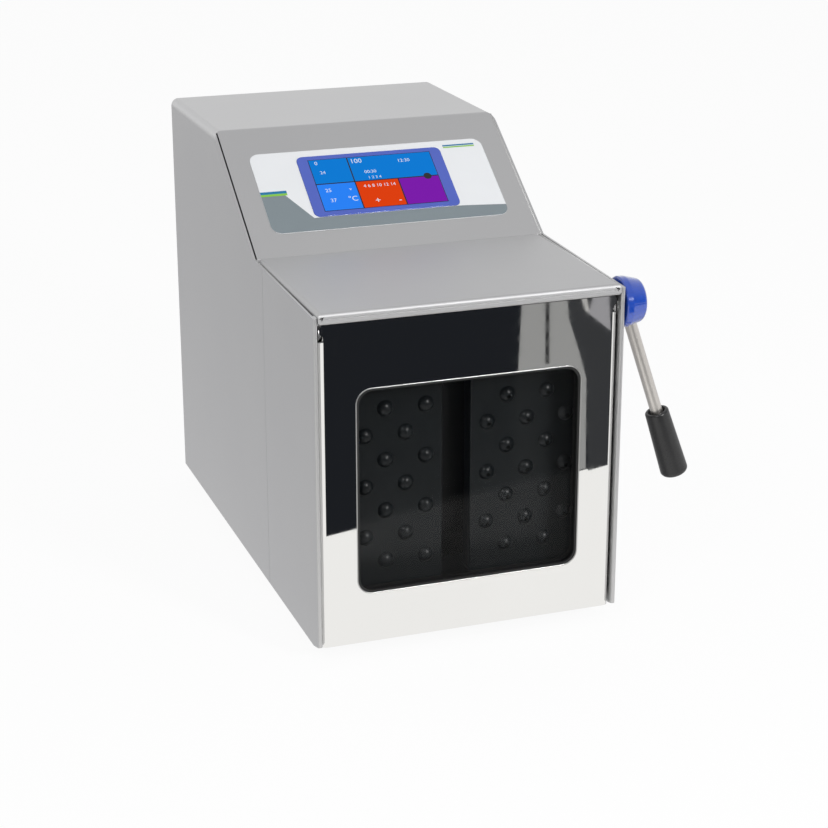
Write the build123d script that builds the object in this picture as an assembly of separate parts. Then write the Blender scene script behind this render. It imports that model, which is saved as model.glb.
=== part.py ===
"""Paddle blender for 400 mL sample bags, as an assembly of folded sheet, moulded and turned pieces.

Every piece is modelled in the housing's own frame: X across (0 in the middle), Y back from the
housing's front edge, Z up from its bottom edge.  TO_BENCH then carries it to the part's frame,
whose origin is the middle of the whole outline on the bench, under the feet.  Millimetres.
"""

from build123d import *
import os
from math import atan2, cos, degrees, hypot, pi, radians, sin, sqrt, tan

os.makedirs("parts", exist_ok=True)

# ---------------------------------------------------------------- driving dimensions
# housing
HOUSING_W = 230.0        # across the side panels
HOUSING_D = 399.0        # front edge to back panel
BODY_H = 323.0           # bottom edge to top face
HOOD_H = 249.2           # bottom edge to the flat hood over the door
CREASE_Y = 149.0         # where the control slope starts
SLOPE_TOP_Y = 258.6      # where the control slope meets the top face
SEAM_Y = 127.0           # joint between front side panels and rear shell
SEAM_GAP = 0.3
SHEET = 1.5              # stainless sheet
TOP_BEND_R = 6.0         # outside radius of the folded top edges
SLOPE_BEND_R = 4.0       # outside radius between top and slope
SLIT = 1.2               # open slit between slope and side panels
BACK_FLANGE = 12.0       # return flange round the back opening
FIT = 0.3                # between bolted pieces

# hood plate and side panels
HOOD_GAP = 1.8           # open groove between hood plate and side panels
HOOD_BEND_R = 2.5        # outside radius of the front bend
HOOD_SIDE_R = 3.5        # outside radius of the side bends
LIP_H = 8.0              # folded front lip of the hood
LIP_GROOVE = 4.2         # creased line along the lip, below the hood's face
LIP_GROOVE_DEPTH = 0.5
HEM_R = 1.5              # lip's rolled hem, twice the sheet thick
HEM_H = 4.0
HEM_END = 1.0            # hem shorter than the lip at each end
NICK_W, NICK_H = 3.6, 3.3  # corner relief at the ends of the lip
SWING_Y = 34.0           # up to here the hood's side bends are cut short for the door's corners
SWING_H = 5.0
EDGE_HEM = 7.0           # side panels' front edge, folded back flat inside by this much
SIDE_DROP = 2.8          # side panels' top edge runs down by this much to the front
LEDGE_W = 9.5
LEDGE_Y0, LEDGE_Y1 = 40.0, 124.0
LAP = 10.0               # side panel's tab behind the seam
SIDE_FLANGE = 12.0       # side panel's bottom flange
CORNER_Y, CORNER_Z = 12.0, 3.2  # cut at each side panel's lower front corner

# door
DOOR_RECESS = 3.7        # door face behind the housing's front edge
DOOR_GAP = 0.6           # door flange to the side panels' hem
DOOR_BOTTOM = 0.8
DOOR_TOP_GAP = 1.2       # door top under the hood lip
DOOR_FLANGE = 22.5       # depth of the folded sides
DOOR_BEND_R = 4.4
DOOR_CORNER_R = 3.0
FLANGE_STOP = 3.0        # the folded sides stop this far under the hinge axis, the face goes on flat
TOP_INSET = 1.6          # flat top inside the folded sides
RELIEF_R = 3.2           # round relief cut where each fold ends
DOOR_FOOT_FLANGE = 11.0
WIN_W = HOUSING_W - 62.0
WIN_H = HOOD_H - 96.2
WIN_Z = 38.5             # bottom of the window cut-out
WIN_R = 11.0
GASKET_LIP = 1.8
GASKET_T = 1.0
PANE_T = 5.0
PANE_LAP = 7.0           # pane behind the door sheet, all round
FRAME_W = 7.0            # window frame outside the pane
FRAME_LIP = 5.0
FRAME_T = 1.5
CLAMP_H = 5.0            # rubber strip that pinches the bag's mouth

# hinge and lever
HINGE_Y = 17.0
HINGE_Z = HOOD_H - 18.2
HINGE_D = 10.0
HINGE_FIT = 0.05
EAR_R = 9.0
BOSS_D = 18.0
COLLAR_D, COLLAR_W = 20.0, 9.0
BUSH_FLANGE = 1.2
HUB_D, HUB_TIP_D = 37.0, 30.6
HUB_DRUM, HUB_CONE = 5.0, 12.2
HUB_ROUND = 3.5
LEVER_ANGLE = 18.9       # outward of straight down
LEVER_ROD_D = 9.0
LEVER_OUT = 91.2         # hinge axis to the grip's collar
GRIP_TOP_D, GRIP_END_D = 17.6, 20.8
GRIP_L = 53.4
GRIP_ROUND = 3.5
GRIP_RECESS = 3.0
GRIP_DEPTH = 30.0        # rod inside the grip

# chamber
LINER_W = HOUSING_W - 24.0
LINER_H = HOOD_H - 58.2
LINER_Z = 20.0
LINER_T = 1.2
LINER_SETBACK = 1.3      # liner behind the door's window frame
BULKHEAD_Y = 86.0
BULKHEAD_T = 2.0
BULKHEAD_TOP = HOOD_H - 10.2
BULKHEAD_FLANGE = 12.0
GUARD_W = 39.0
GUARD_Z0, GUARD_Z1 = 52.5, HOOD_H - 53.2
GUARD_Y = 56.0

# paddles
PADDLE_GAP = 21.0
PADDLE_SIDE = 5.5        # paddle to the chamber's side
PADDLE_W = (LINER_W - PADDLE_GAP) / 2 - PADDLE_SIDE
PADDLE_H = LINER_H - 31.0
PADDLE_Z = 28.0
PADDLE_FACE_Y = 31.0     # face at mid-stroke
PADDLE_T = 12.0
PADDLE_R = 6.0
PADDLE_WALL = 3.0
BUMP_D, BUMP_H = 12.0, 3.6
BUMP_PITCH_X, BUMP_PITCH_Z = 30.5, 19.3
BUMP_ROWS = 7
STROKE = 8.0             # crank throw, paddles move this far each way

# drive
PUSH_ROD_D = 20.0
BUSH_BORE_FIT = 0.05
BUSH_D, BUSH_L = 32.0, 34.0
BUSH_PLATE, BUSH_PLATE_T = 48.0, 8.0
CLEVIS_W, CLEVIS_H, CLEVIS_CHEEK = 24.0, 26.0, 6.5
CLEVIS_BASE = 8.0
WRIST_D = 8.0
EYE_R = 10.0
LINK_L = 72.0            # connecting rod, centre to centre
LINK_T = 10.0
BIG_END_R = 33.0
ECCENTRIC_R = 22.0
ECCENTRIC_T = 13.0
CRANK_D = 20.0
PEDESTAL_X, PEDESTAL_T = HOUSING_W / 2 - 35.0, 16.0
PEDESTAL_FOOT = 84.0
PEDESTAL_HEAD_R = 22.0
PULLEY_X, PULLEY_W = 18.0 - HOUSING_W / 2, 15.0
CRANK_PULLEY_R, MOTOR_PULLEY_R = 40.0, 16.0
GROOVE = 6.0
BELT_W, BELT_T = 9.0, 5.0
BELT_FIT = 0.3
CENTRES = 92.0           # crank axis to motor axis
MOTOR_R, MOTOR_L = 38.0, 132.0
MOTOR_SHAFT_D = 12.0
BRACKET_T, BRACKET_FOOT = 5.0, 60.0
PULLEY_CLEAR = 6.0       # pulley to the motor's bracket
MOTOR_ROUND = 6.0
MOTOR_SPIGOT_R = 15.5

# base, back and electronics
BASE_T = 2.0
BASE_Y0 = 28.0
BASE_FLANGE = 18.0
FOOT_H, FOOT_D, FOOT_TIP_D = 12.0, 30.0, 26.0
FOOT_X, FOOT_Y0, FOOT_BACK = HOUSING_W / 2 - 35.0, 62.0, 45.0
TRAY_Z, TRAY_DEPTH = 170.0, 109.7
PSU = (92.0, 92.0, 38.0)
PSU_X, PSU_BEVEL = 8.0, 1.5
BOARD = (96.0, 84.0, 1.6)
BOARD_SIDE = 9.5         # board to the housing's left wall
STANDOFF_R, STANDOFF_H, STANDOFF_INSET = 3.0, 6.0, 6.0
FAN_X, FAN_Z, FAN_SIZE, FAN_T = 58.0, BODY_H - 61.0, 60.0, 15.0
FAN_R = 27.0
FAN_BLADES = 7
GRILLE_SLOT = 3.6
SCREW_R, SCREW_H = 3.4, 2.0  # pan heads on the back
INLET_X, INLET_Z = 70.0, 45.0
INLET_W, INLET_H, INLET_DEPTH = 27.0, 20.0, 18.0
INLET_PLATE_W, INLET_PLATE_H, PLATE_T = 50.0, 30.0, 2.0
SWITCH_X, ROCKER_W, ROCKER_H = 20.0, 14.0, 22.0
ROCKER_TILT = 12.0       # degrees between off and on
ROCKER_PIVOT = 4.2       # pivot in front of the bezel's face
TRUNNION_R, TRUNNION_L = 1.2, 0.7

# control slope
OVERLAY_W, OVERLAY_L, OVERLAY_T, OVERLAY_R = HOUSING_W - 41.0, 81.5, 0.4, 8.0
OVERLAY_MID = 63.3       # up the slope from the crease
SCREEN_W, SCREEN_L, SCREEN_T, SCREEN_R = 117.0, 62.0, 1.0, 5.0
SCREEN_MID = 66.5
MODULE_W, MODULE_L, MODULE_T = 106.0, 55.0, 9.0

# ---------------------------------------------------------------- worked out from them
HALF_W = HOUSING_W / 2
INSIDE = HALF_W - SHEET
SLOPE_ANGLE = atan2(BODY_H - HOOD_H, SLOPE_TOP_Y - CREASE_Y)
SLOPE_LEN = hypot(BODY_H - HOOD_H, SLOPE_TOP_Y - CREASE_Y)
BACK_Y = HOUSING_D - SHEET
DOOR_HALF = INSIDE - SHEET - DOOR_GAP
DOOR_BACK = DOOR_RECESS + SHEET
DOOR_TOP = HOOD_H - LIP_H - DOOR_TOP_GAP
DOOR_FLANGE_TOP = HINGE_Z - FLANGE_STOP
TRAY_Y0 = BACK_Y - 2 * SHEET - TRAY_DEPTH + FIT
WIN_MID_Z = WIN_Z + WIN_H / 2
PANE_Y = DOOR_BACK + GASKET_T
FRAME_BACK = PANE_Y + PANE_T + FRAME_T
LINER_Y0 = FRAME_BACK + LINER_SETBACK
LINER_TOP = LINER_Z + LINER_H
BASE_TOP = SHEET + BASE_T
PADDLE_X = (PADDLE_GAP + PADDLE_W) / 2
PADDLE_MID_Z = PADDLE_Z + PADDLE_H / 2
PADDLE_BACK = PADDLE_FACE_Y + PADDLE_T
BUSH_END = BULKHEAD_Y + BULKHEAD_T + BUSH_L
CLEVIS_Y = BUSH_END + 2 * STROKE + 4.0
WRIST_Y = CLEVIS_Y + CLEVIS_BASE + EYE_R + 2 * STROKE + 2.0
CRANK_Y = WRIST_Y + sqrt(LINK_L**2 - STROKE**2)
CRANK_Z = PADDLE_MID_Z
MOTOR_Y = CRANK_Y + CENTRES
HUB_X = HALF_W + BUSH_FLANGE + FIT
HUB_END = HUB_X + HUB_DRUM + HUB_CONE
LEVER_X = HUB_X + HUB_DRUM
LEVER_DOWN = (sin(radians(LEVER_ANGLE)), 0.0, -cos(radians(LEVER_ANGLE)))
LEVER_REACH = LEVER_OUT + GRIP_L
GRIP_TIP_X = (LEVER_REACH - GRIP_ROUND) * LEVER_DOWN[0] - (GRIP_END_D / 2 - GRIP_ROUND) * LEVER_DOWN[2]
RIGHT_X = LEVER_X + GRIP_TIP_X + GRIP_ROUND
FRONT_Y = HINGE_Y - HUB_D / 2
REAR_Y = HOUSING_D + PLATE_T
ORIGIN_X = (RIGHT_X - HALF_W) / 2
ORIGIN_Y = (FRONT_Y + REAR_Y) / 2
TO_BENCH = Pos(-ORIGIN_X, -ORIGIN_Y, FOOT_H)

SLOPE = Plane(
    origin=(0, CREASE_Y, HOOD_H),
    x_dir=(1, 0, 0),
    z_dir=(0, -sin(SLOPE_ANGLE), cos(SLOPE_ANGLE)),
)
LEVER = Plane(origin=(LEVER_X, HINGE_Y, HINGE_Z), x_dir=(0, 1, 0), z_dir=LEVER_DOWN)


# ---------------------------------------------------------------- helpers
def block(x0, x1, y0, y1, z0, z1):
    """A box between two corners."""
    middle = Pos((x0 + x1) / 2, (y0 + y1) / 2, (z0 + z1) / 2)
    return middle * Box(x1 - x0, y1 - y0, z1 - z0)


def bar_x(r, x0, x1, y, z):
    """A round bar along X."""
    return Pos((x0 + x1) / 2, y, z) * Rot(0, 90, 0) * Cylinder(r, x1 - x0)


def bar_y(r, y0, y1, x, z):
    """A round bar along Y."""
    return Pos(x, (y0 + y1) / 2, z) * Rot(90, 0, 0) * Cylinder(r, y1 - y0)


def bar_z(r, z0, z1, x, y):
    """A round bar along Z."""
    return Pos(x, y, (z0 + z1) / 2) * Cylinder(r, z1 - z0)


def along_x(outline, x0, x1):
    """A side outline of (y, z) points, or a face drawn in them, carried from x0 to x1."""
    face = make_face(Polyline(*outline, close=True)) if isinstance(outline, list) else outline
    return extrude(Plane.YZ.offset(x0) * face, amount=x1 - x0)


def along_y(sketch, y0, y1):
    """A sketch of (x, z) carried from y0 back to y1."""
    return extrude(Plane.XZ.offset(-y1) * sketch, amount=y1 - y0)


def along_z(sketch, z0, z1):
    """A plan sketch carried up from z0 to z1."""
    return extrude(Plane.XY.offset(z0) * sketch, amount=z1 - z0)


def rounded_at(face, spots, radius):
    """The face with the corners nearest to the given spots rounded."""
    corners = [min(face.vertices(), key=lambda v: hypot(v.X - a, v.Y - b)) for a, b in spots]
    return fillet(corners, radius)


def window(extra, y0, y1, r_extra=0.0):
    """A slab of the window's outline, grown by extra on each side."""
    shape = RectangleRounded(WIN_W + 2 * extra, WIN_H + 2 * extra, WIN_R + r_extra + extra / 2)
    return along_y(Pos(0, WIN_MID_Z) * shape, y0, y1)


def both_sides(shape):
    """The shape and its mirror image on the other side of the middle plane."""
    return shape + mirror(shape, Plane.YZ)


# ---------------------------------------------------------------- housing
def side_top(y):
    """Height of the side walls' top edge beside the hood plate."""
    return HOOD_H - SIDE_DROP * (1 - y / CREASE_Y)


def shell_outline(t):
    """Side outline of the rear shell, set in by t."""
    foot = 0.0 if t == 0 else -1.0
    front = SEAM_Y + foot
    back = HOUSING_D - foot
    top = BODY_H - t
    bend_y = SLOPE_TOP_Y + t * tan(SLOPE_ANGLE / 2)
    low_y = CREASE_Y if t == 0 else front
    low_z = HOOD_H - t / cos(SLOPE_ANGLE) - (CREASE_Y - low_y) * tan(SLOPE_ANGLE)
    points = [(front, foot), (back, foot), (back, top), (bend_y, top), (low_y, low_z)]
    if t == 0:
        points.append((front, side_top(front)))
    face = make_face(Polyline(*points, close=True))
    return rounded_at(face, [(bend_y, top)], SLOPE_BEND_R - t)


def shell_tunnel(t):
    """Front outline of the rear shell, set in by t, with its two folded top edges."""
    half, top = HALF_W - t, BODY_H - t
    face = Pos(0, (top - t) / 2) * Rectangle(2 * half, top + t)
    face = rounded_at(face, [(-half, top), (half, top)], TOP_BEND_R - t)
    return along_y(face, SEAM_Y - 2, HOUSING_D + 2)


def housing_shell():
    outer = along_x(shell_outline(0), -HALF_W, HALF_W) & shell_tunnel(0)
    inner = along_x(shell_outline(SHEET), -INSIDE, INSIDE) & shell_tunnel(SHEET)
    shell = outer - inner
    shell -= block(-INSIDE, INSIDE, SEAM_Y - 1, CREASE_Y, -1, HOOD_H + 1)
    slit_len = SLOPE_LEN - SLOPE_BEND_R / 2
    slit = Pos(INSIDE - SLIT / 2, slit_len / 2, 0) * Box(SLIT, slit_len, 4 * SHEET)
    shell -= both_sides(SLOPE * slit)
    shell -= SLOPE * Pos(0, SCREEN_MID, 0) * Box(MODULE_W + 2, MODULE_L + 2, 4 * SHEET)
    frame = shell_tunnel(SHEET) & block(-INSIDE, INSIDE, BACK_Y - SHEET - FIT, BACK_Y - FIT, 0, BODY_H)
    in_x, in_z = INSIDE - BACK_FLANGE, BODY_H - SHEET - BACK_FLANGE
    frame -= block(-in_x, in_x, BACK_Y - 2 * SHEET - 1, BACK_Y + 1, -1, in_z)
    frame -= block(-HALF_W, HALF_W, BACK_Y - 2 * SHEET - 1, BACK_Y + 1, -1, BASE_TOP + BASE_FLANGE + FIT)
    return shell + frame


def side_panel(side):
    """One front side panel, side = -1 left, 1 right, with its front edge folded back flat inside.

    The hinge shaft passes the right one."""
    x0, x1 = INSIDE, HALF_W
    back = SEAM_Y - SEAM_GAP
    outline = [(0, CORNER_Z), (CORNER_Y, 0), (back, 0), (back, side_top(back)), (0, side_top(0))]
    plan = Pos(x0 + SHEET / 2, (SHEET + back) / 2) * Rectangle(SHEET, back - SHEET)
    plan += Pos(x0 - SHEET / 2, (SHEET + EDGE_HEM) / 2) * Rectangle(SHEET, EDGE_HEM - SHEET)
    plan += Pos(x0, SHEET) * Circle(SHEET)
    panel = along_z(plan, 0, HOOD_H) & along_x(outline, x0 - SHEET, x1)
    lap_z0, lap_z1 = BASE_TOP + BASE_FLANGE + FIT, HOOD_H - 2 * LIP_H
    panel += block(x0 - SHEET, x0, back - LAP, SEAM_Y + LAP, lap_z0, lap_z1)
    panel += block(x0 - SIDE_FLANGE, x0, BASE_Y0, back, 0, SHEET)
    ledge_z = HOOD_H - LIP_H
    panel += block(x0 - LEDGE_W, x0, LEDGE_Y0, LEDGE_Y1, ledge_z - SHEET, ledge_z)
    if side > 0:
        panel -= bar_x(HINGE_D / 2 + SHEET, x0 - 1, x1 + 1, HINGE_Y, HINGE_Z)
    return panel if side > 0 else mirror(panel, Plane.YZ)


def hood_body(t):
    """The hood plate's outside, set in by t: its side outline carried across, within its front outline."""
    half, top = INSIDE - HOOD_GAP - t, HOOD_H - t
    low = HOOD_H - LIP_H - t
    back = CREASE_Y - SEAM_GAP + t
    side = make_face(Polyline((t, low), (back, low), (back, top), (t, top), close=True))
    side = rounded_at(side, [(t, top)], HOOD_BEND_R - t)
    front = Pos(0, (low + top) / 2) * Rectangle(2 * half, top - low)
    front = rounded_at(front, [(-half, top), (half, top)], HOOD_SIDE_R - t)
    return along_x(side, -half, half) & along_y(front, t - 1, back + 1)


def hood_plate():
    """Folded hood: side bends, a creased front lip with a rolled hem, and nicks at the lip's ends."""
    half, low = INSIDE - HOOD_GAP, HOOD_H - LIP_H
    hood = hood_body(0) - hood_body(SHEET)
    end = half - HEM_END
    hood -= block(-half - 1, half + 1, -1, SHEET + 0.1, low - 1, low + HEM_R)
    hood += block(-end, end, 0, 2 * HEM_R, low + HEM_R, low + HEM_H)
    hood += bar_x(HEM_R, -end, end, HEM_R, low + HEM_R)
    mid, deep = HOOD_H - LIP_GROOVE, LIP_GROOVE_DEPTH
    inner = half - NICK_W - HEM_END
    hood -= along_x([(-deep, mid + 2 * deep), (deep, mid), (-deep, mid - 2 * deep)], -inner, inner)
    hood -= both_sides(block(half - 2 * SHEET, half + 1, 2 * HEM_R + 0.1, SWING_Y, low - 1, HOOD_H - SWING_H))
    nick = make_face(Polyline((inner, HOOD_H - 1.9), (half - HEM_END, HOOD_H - 3.2),
                              (inner + NICK_W / 2, HOOD_H - 1.9 - NICK_H), close=True))
    return hood - both_sides(along_y(nick, -1, SHEET + 0.1))


def base_plate():
    half = INSIDE - FIT / 2
    back = BACK_Y - FIT
    tray = block(-half, half, BASE_Y0, back, SHEET, BASE_TOP + BASE_FLANGE)
    rim = BASE_TOP + BASE_FLANGE + 1
    tray -= block(-half + SHEET, half - SHEET, BASE_Y0 - 1, back - SHEET, BASE_TOP, rim)
    for x in (-FOOT_X, FOOT_X):
        for y in (FOOT_Y0, HOUSING_D - FOOT_BACK):
            tray -= bar_z(2.6, 0, BASE_TOP + 1, x, y)
    for k in range(5):
        slot = Pos((k - 2) * 12, HOUSING_D * 0.4) * SlotOverall(34, 4, rotation=90)
        tray -= along_z(slot, SHEET - 1, BASE_TOP + 1)
    return tray


def feet():
    profile = make_face(Polyline((0, -FOOT_H), (FOOT_TIP_D / 2, -FOOT_H), (FOOT_D / 2, -FOOT_H / 3),
                                 (FOOT_D / 2, SHEET), (0, SHEET), close=True))
    foot = revolve(Plane.XZ * profile, Axis.Z)
    spots = [(x, y) for x in (-FOOT_X, FOOT_X) for y in (FOOT_Y0, HOUSING_D - FOOT_BACK)]
    return Compound(children=[Pos(x, y, 0) * foot for x, y in spots])


def back_panel():
    half = INSIDE - FIT
    low, top = FIT, BODY_H - SHEET - FIT
    face = Pos(0, (low + top) / 2) * Rectangle(2 * half, top - low)
    face = rounded_at(face, [(-half, top), (half, top)], TOP_BEND_R - SHEET)
    panel = along_y(face, BACK_Y, HOUSING_D)
    grille = []
    for ring, count in ((0.32, 3), (0.58, 6), (0.84, 10)):
        r = FAN_R * ring
        width = degrees((2 * pi * r / count - 2 * GRILLE_SLOT) / r)
        for k in range(count):
            arc = CenterArc((0, 0), r, k * 360 / count, width)
            grille.append(Pos(FAN_X, FAN_Z) * SlotArc(arc, GRILLE_SLOT))
    for slot in grille:
        panel -= along_y(slot, BACK_Y - 1, HOUSING_D + 1)
    panel -= block(INLET_X - INLET_W / 2 - 1, INLET_X + INLET_W / 2 + 1, BACK_Y - 1, HOUSING_D + 1,
                   INLET_Z - INLET_H / 2 - 1, INLET_Z + INLET_H / 2 + 1)
    panel -= block(SWITCH_X - ROCKER_W / 2 - 1, SWITCH_X + ROCKER_W / 2 + 1, BACK_Y - 1, HOUSING_D + 1,
                   INLET_Z - ROCKER_H / 2 - 1, INLET_Z + ROCKER_H / 2 + 1)
    return panel


def back_screws():
    """Pan-head screws of the back panel, four down each side and two along the top."""
    inset = BACK_FLANGE / 2 + SHEET
    spots = [(s * (HALF_W - inset), BODY_H * k) for s in (-1, 1) for k in (0.15, 0.4, 0.65, 0.9)]
    spots += [(s * HALF_W / 3, BODY_H - inset) for s in (-1, 1)]
    profile = Polyline((0, 0), (SCREW_R, 0), (SCREW_R * 0.76, SCREW_H * 0.8), (0, SCREW_H), close=True)
    head = revolve(Plane.XZ * make_face(profile), Axis.Z)
    turned = Rot(-90, 0, 0) * head
    return Compound(children=[Pos(x, HOUSING_D, z) * turned for x, z in spots])


# ---------------------------------------------------------------- control slope
def fascia_overlay():
    film = extrude(RectangleRounded(OVERLAY_W, OVERLAY_L, OVERLAY_R), OVERLAY_T)
    film -= Pos(0, SCREEN_MID - OVERLAY_MID, 0) * extrude(
        RectangleRounded(SCREEN_W + FIT, SCREEN_L + FIT, SCREEN_R), OVERLAY_T)
    return SLOPE * Pos(0, OVERLAY_MID, 0) * film


def touch_screen():
    glass = extrude(RectangleRounded(SCREEN_W, SCREEN_L, SCREEN_R), SCREEN_T)
    glass = fillet(glass.edges().group_by(Axis.Z)[-1], SCREEN_T / 3)
    return SLOPE * Pos(0, SCREEN_MID, 0) * glass


def display_module():
    body = Pos(0, 0, -MODULE_T / 2) * Box(MODULE_W, MODULE_L, MODULE_T)
    frame = Pos(0, 0, -MODULE_T + 1) * Box(MODULE_W + 8, MODULE_L + 8, 2)
    return SLOPE * Pos(0, SCREEN_MID, 0) * (body + frame)


# ---------------------------------------------------------------- door
def door_panel():
    plan = Pos(0, DOOR_RECESS + DOOR_FLANGE / 2) * Rectangle(2 * DOOR_HALF, DOOR_FLANGE)
    plan = rounded_at(plan, [(-DOOR_HALF, DOOR_RECESS), (DOOR_HALF, DOOR_RECESS)], DOOR_BEND_R)
    in_half = DOOR_HALF - SHEET
    hollow = Pos(0, DOOR_BACK + DOOR_FLANGE / 2) * Rectangle(2 * in_half, DOOR_FLANGE)
    hollow = rounded_at(hollow, [(-in_half, DOOR_BACK), (in_half, DOOR_BACK)], DOOR_BEND_R - SHEET)
    door = along_z(plan - hollow, DOOR_BOTTOM, DOOR_FLANGE_TOP)
    top_half = DOOR_HALF - TOP_INSET
    flat = Pos(0, (DOOR_FLANGE_TOP + DOOR_TOP) / 2) * Rectangle(2 * top_half, DOOR_TOP - DOOR_FLANGE_TOP)
    flat = rounded_at(flat, [(-top_half, DOOR_TOP), (top_half, DOOR_TOP)], DOOR_CORNER_R)
    relief = Pos(top_half + 0.5, DOOR_FLANGE_TOP + 0.8 * RELIEF_R) * Circle(RELIEF_R)
    door += along_y(flat, DOOR_RECESS, DOOR_BACK)
    door -= both_sides(along_y(relief, DOOR_RECESS - 1, DOOR_BACK + 0.1))
    flange_end = DOOR_RECESS + DOOR_FLANGE
    ear = Pos(HINGE_Y, HINGE_Z) * Circle(EAR_R)
    ear += make_face(Polyline((HINGE_Y - EAR_R, HINGE_Z), (HINGE_Y + EAR_R, HINGE_Z),
                              (flange_end, DOOR_FLANGE_TOP - 2), (HINGE_Y - EAR_R, DOOR_FLANGE_TOP - 2),
                              close=True))
    door += both_sides(along_x(ear, DOOR_HALF - SHEET, DOOR_HALF))
    door += block(-in_half + 1, in_half - 1, DOOR_BACK, DOOR_BACK + DOOR_FOOT_FLANGE,
                  DOOR_BOTTOM, DOOR_BOTTOM + SHEET)
    door -= window(0, DOOR_RECESS - 1, DOOR_BACK + 1)
    door -= bar_x(HINGE_D / 2, -HALF_W, HALF_W, HINGE_Y, HINGE_Z)
    return door


def window_gasket():
    lip = window(-0.05, DOOR_RECESS + 0.4, DOOR_BACK) + window(PANE_LAP, DOOR_BACK, PANE_Y)
    return lip - window(-GASKET_LIP, DOOR_RECESS, PANE_Y + 1)


def window_pane():
    return window(PANE_LAP, PANE_Y, PANE_Y + PANE_T)


def window_frame():
    frame = window(PANE_LAP + FRAME_W, DOOR_BACK, FRAME_BACK)
    frame -= window(PANE_LAP + 0.1, DOOR_BACK - 1, PANE_Y + PANE_T)
    return frame - window(PANE_LAP - FRAME_LIP, DOOR_BACK, FRAME_BACK + 1)


def window_screws():
    """Dome nuts on the door's weld studs, holding the window frame."""
    reach_x = WIN_W / 2 + PANE_LAP + FRAME_W / 2
    reach_z = WIN_H / 2 + PANE_LAP + FRAME_W / 2
    spots = [(sx * reach_x, sz * reach_z * 0.55) for sx in (-1, 1) for sz in (-1, 1)]
    spots += [(sx * reach_x * 0.55, sz * reach_z) for sx in (-1, 1) for sz in (-1, 1)]
    nut = bar_y(2.4, FRAME_BACK, FRAME_BACK + 0.9, 0, 0)
    return Compound(children=[Pos(x, 0, WIN_MID_Z + z) * nut for x, z in spots])


def bag_clamp():
    """Rubber strip on the door that pinches the bag's mouth on the chamber's top edge."""
    mid = LINER_TOP - LINER_T / 2
    strip = block(-LINER_W / 2 + 4, LINER_W / 2 - 4, DOOR_BACK, LINER_Y0 - FIT, mid - CLAMP_H / 2,
                  mid + CLAMP_H / 2)
    return fillet(strip.edges().filter_by(Axis.X).group_by(Axis.Y)[-1], CLAMP_H / 3)


# ---------------------------------------------------------------- hinge and lever
def hinge_shaft():
    """Ground shaft along the hinge axis, from the left boss to inside the lever's hub."""
    left, right = -INSIDE + FIT / 2, HUB_X + HUB_DRUM
    shaft = bar_x(HINGE_D / 2, left, right, HINGE_Y, HINGE_Z)
    ends = shaft.edges().filter_by(GeomType.CIRCLE)
    return chamfer(ends, 0.6)


def shaft_collars():
    inner = DOOR_HALF - SHEET
    collar = bar_x(COLLAR_D / 2, inner - COLLAR_W, inner, HINGE_Y, HINGE_Z)
    collar = chamfer(collar.edges().filter_by(GeomType.CIRCLE), 0.8)
    collar -= bar_x(HINGE_D / 2, inner - COLLAR_W - 1, inner + 1, HINGE_Y, HINGE_Z)
    collar -= bar_z(2.0, HINGE_Z, HINGE_Z + COLLAR_D, inner - COLLAR_W / 2, HINGE_Y)
    other = mirror(collar, Plane.YZ)
    return Compound(children=[collar, other])


def hinge_boss():
    """Blind bearing boss on the inside of the left side panel."""
    boss = bar_x(BOSS_D / 2, -INSIDE, -DOOR_HALF - FIT, HINGE_Y, HINGE_Z)
    return boss - bar_x(HINGE_D / 2 + HINGE_FIT, -INSIDE - 1, 0, HINGE_Y, HINGE_Z)


def hinge_bush():
    """Flanged bush where the shaft leaves through the right side panel."""
    bush = bar_x(HINGE_D / 2 + SHEET, DOOR_HALF + FIT, HALF_W + BUSH_FLANGE, HINGE_Y, HINGE_Z)
    bush += bar_x(BOSS_D / 2, DOOR_HALF + FIT, INSIDE, HINGE_Y, HINGE_Z)
    bush += bar_x(BOSS_D / 2, HALF_W, HALF_W + BUSH_FLANGE, HINGE_Y, HINGE_Z)
    return bush - bar_x(HINGE_D / 2 + HINGE_FIT, DOOR_HALF, HUB_END, HINGE_Y, HINGE_Z)


def lever_hub():
    """Turned hub: a short drum, then a taper to a rounded end, bored for shaft and lever rod."""
    side = [(0, 0), (0, HUB_D / 2 - 0.8), (0.8, HUB_D / 2), (HUB_DRUM, HUB_D / 2),
            (HUB_DRUM + HUB_CONE, HUB_TIP_D / 2), (HUB_DRUM + HUB_CONE, 0)]
    face = make_face(Polyline(*side, close=True))
    face = rounded_at(face, [(HUB_DRUM + HUB_CONE, HUB_TIP_D / 2)], HUB_ROUND)
    face = rounded_at(face, [(HUB_DRUM, HUB_D / 2)], HUB_ROUND)
    hub = Pos(HUB_X, HINGE_Y, HINGE_Z) * revolve(face, Axis.X)
    hub -= bar_x(HINGE_D / 2, HUB_X - 1, LEVER_X, HINGE_Y, HINGE_Z)
    return hub - LEVER * Pos(0, 0, HUB_D) * Cylinder(LEVER_ROD_D / 2, 2 * (HUB_D - HINGE_D))


def lever_rod():
    start = HINGE_D
    length = LEVER_OUT + GRIP_DEPTH - start
    rod = Pos(0, 0, start + length / 2) * Cylinder(LEVER_ROD_D / 2, length)
    return LEVER * chamfer(rod.edges().filter_by(GeomType.CIRCLE), 0.6)


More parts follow.
